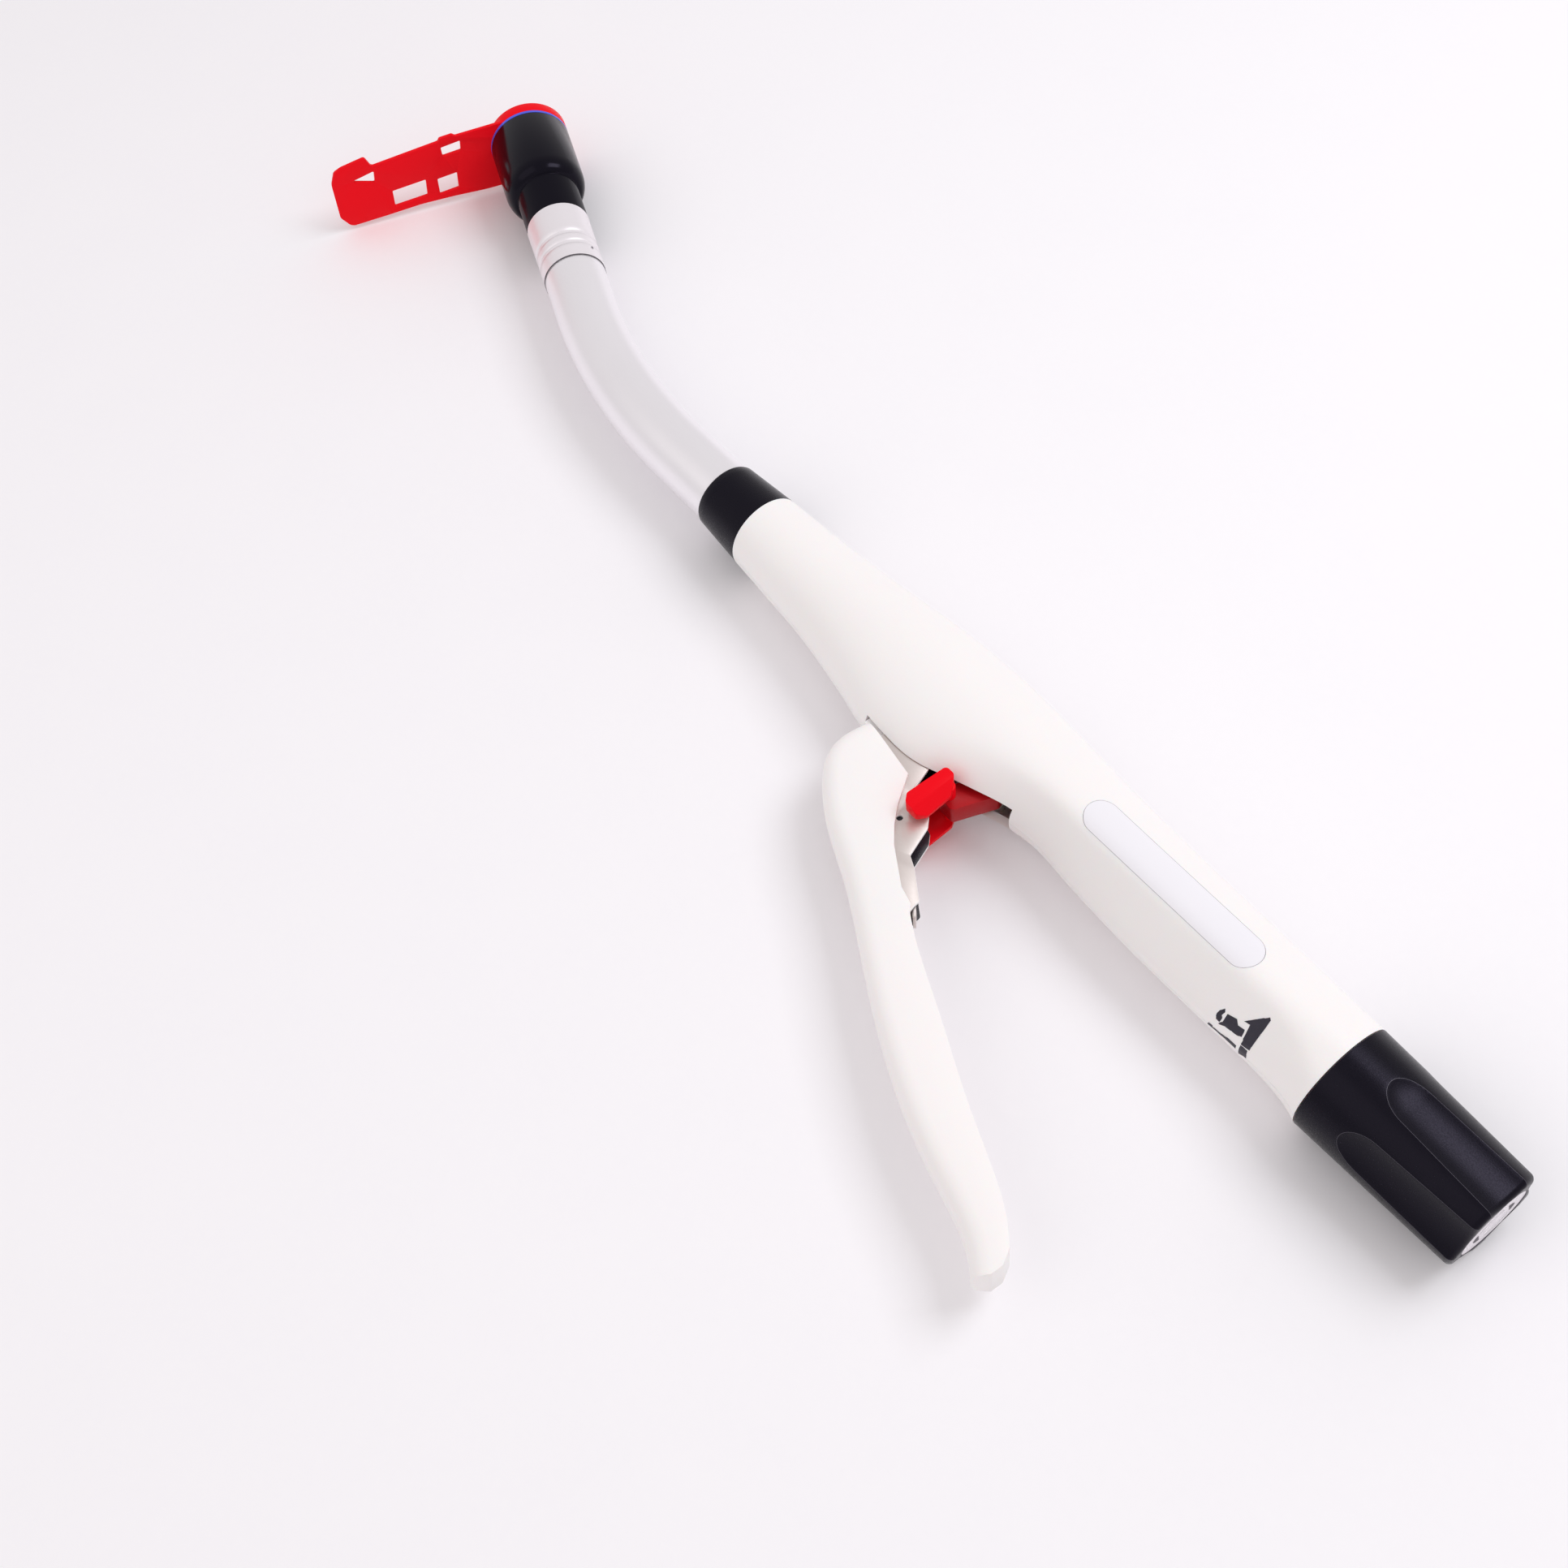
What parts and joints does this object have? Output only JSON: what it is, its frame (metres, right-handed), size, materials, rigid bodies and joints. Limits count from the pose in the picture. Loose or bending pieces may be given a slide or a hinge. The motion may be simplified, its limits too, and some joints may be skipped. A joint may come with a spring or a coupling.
{
  "type": "circular stapler",
  "caption": "Curved circular surgical stapler with white squeeze handle, black adjusting knob, steel shaft, black staple head, red transport guard and red safety catch.",
  "frame": {"origin": "centre of the adjusting knob's flat end", "axes": "+X along the handle towards the head, +Y towards the trigger, +Z out of the instrument's left side"},
  "size_m": [0.47, 0.1543, 0.0302],
  "materials": {
    "white_plastic": "soft gloss",
    "black_plastic": "satin",
    "gloss_black": "gloss",
    "satin_aluminium": "satin, brushed along",
    "steel": "plain sheet",
    "staple_wire": "bright",
    "brass": "plain",
    "red_plastic": "gloss",
    "blue_plastic": "gloss",
    "inner_plastic": "as moulded",
    "clear_window": "clear",
    "scale_print": "printed"
  },
  "bodies": {
    "handle": {"left_housing_shell": "white_plastic", "right_housing_shell": "white_plastic", "front_collar": "black_plastic", "shaft_tube": "satin_aluminium", "tube_seat_block": "inner_plastic", "shaft_ferrule": "satin_aluminium", "shaft_spacers": "inner_plastic", "flexible_push_tube": "steel", "flexible_pull_cable": "steel", "head_casing": "gloss_black", "staple_guide": "blue_plastic", "staples": "staple_wire", "indicator_window": "clear_window", "indicator_scale": "scale_print", "housing_screws": "steel", "trigger_pivot_pin": "steel", "catch_pivot_pin": "steel", "thrust_washer": "brass", "screw_key_plate": "inner_plastic", "firing_spring": "steel"},
    "knob": {"adjusting_knob": "black_plastic", "knob_end_cap": "white_plastic", "nut_sleeve": "brass"},
    "screw": {"lead_screw": "steel", "pull_rod": "steel"},
    "anvil_rod": {"centre_rod": "steel"},
    "pointer": {"indicator_pointer": "red_plastic"},
    "trigger": {"trigger_handle": "white_plastic", "trigger_frame": "steel", "trigger_cross_pin": "steel", "trigger_spring_blade": "steel"},
    "push": {"push_tube": "steel", "push_collar": "steel"},
    "pusher": {"staple_pusher": "inner_plastic", "circular_knife": "steel"},
    "catch": {"safety_catch": "red_plastic"},
    "guard": {"transport_guard": "red_plastic"}
  },
  "joints": [
    {"name": "knob_turn", "type": "hinge", "parent": "handle", "child": "knob", "pos_m": [0, 0, 0], "axis": [-1, 0, 0], "range_deg": [0, 2880]},
    {"name": "screw_slide", "type": "slide", "parent": "handle", "child": "screw", "axis": [1, 0, 0], "range_m": [0, 0.024]},
    {"name": "rod_slide", "type": "slide", "parent": "handle", "child": "anvil_rod", "axis": [0.9265, -0.3762, 0], "range_m": [0, 0.024]},
    {"name": "pointer_slide", "type": "slide", "parent": "handle", "child": "pointer", "axis": [1, 0, 0], "range_m": [-0.036, 0]},
    {"name": "trigger_squeeze", "type": "hinge", "parent": "handle", "child": "trigger", "pos_m": [0.181, 0.012, 0], "axis": [0, 0, 1], "range_deg": [0, 26], "stiffness_Nm_per_rad": 0.3},
    {"name": "push_slide", "type": "slide", "parent": "handle", "child": "push", "axis": [1, 0, 0], "range_m": [0, 0.0055], "deforming": ["firing_spring"]},
    {"name": "pusher_slide", "type": "slide", "parent": "handle", "child": "pusher", "axis": [0.9265, -0.3762, 0], "range_m": [0, 0.0055]},
    {"name": "catch_swing", "type": "hinge", "parent": "handle", "child": "catch", "pos_m": [0.159, 0.0072, 0], "axis": [0, 0, 1], "range_deg": [0, 58]},
    {"name": "guard_pull", "type": "slide", "parent": "handle", "child": "guard", "axis": [0.9265, -0.3762, 0], "range_m": [0, 0.04]}
  ],
  "couplings": [
    {"joint": "screw_slide", "follows": "knob_turn", "m_per_rad": 0.00047746},
    {"joint": "rod_slide", "follows": "knob_turn", "m_per_rad": 0.00047746},
    {"joint": "pointer_slide", "follows": "knob_turn", "m_per_rad": -0.0007162},
    {"joint": "push_slide", "follows": "trigger_squeeze", "m_per_rad": 0.012},
    {"joint": "pusher_slide", "follows": "trigger_squeeze", "m_per_rad": 0.012}
  ]
}
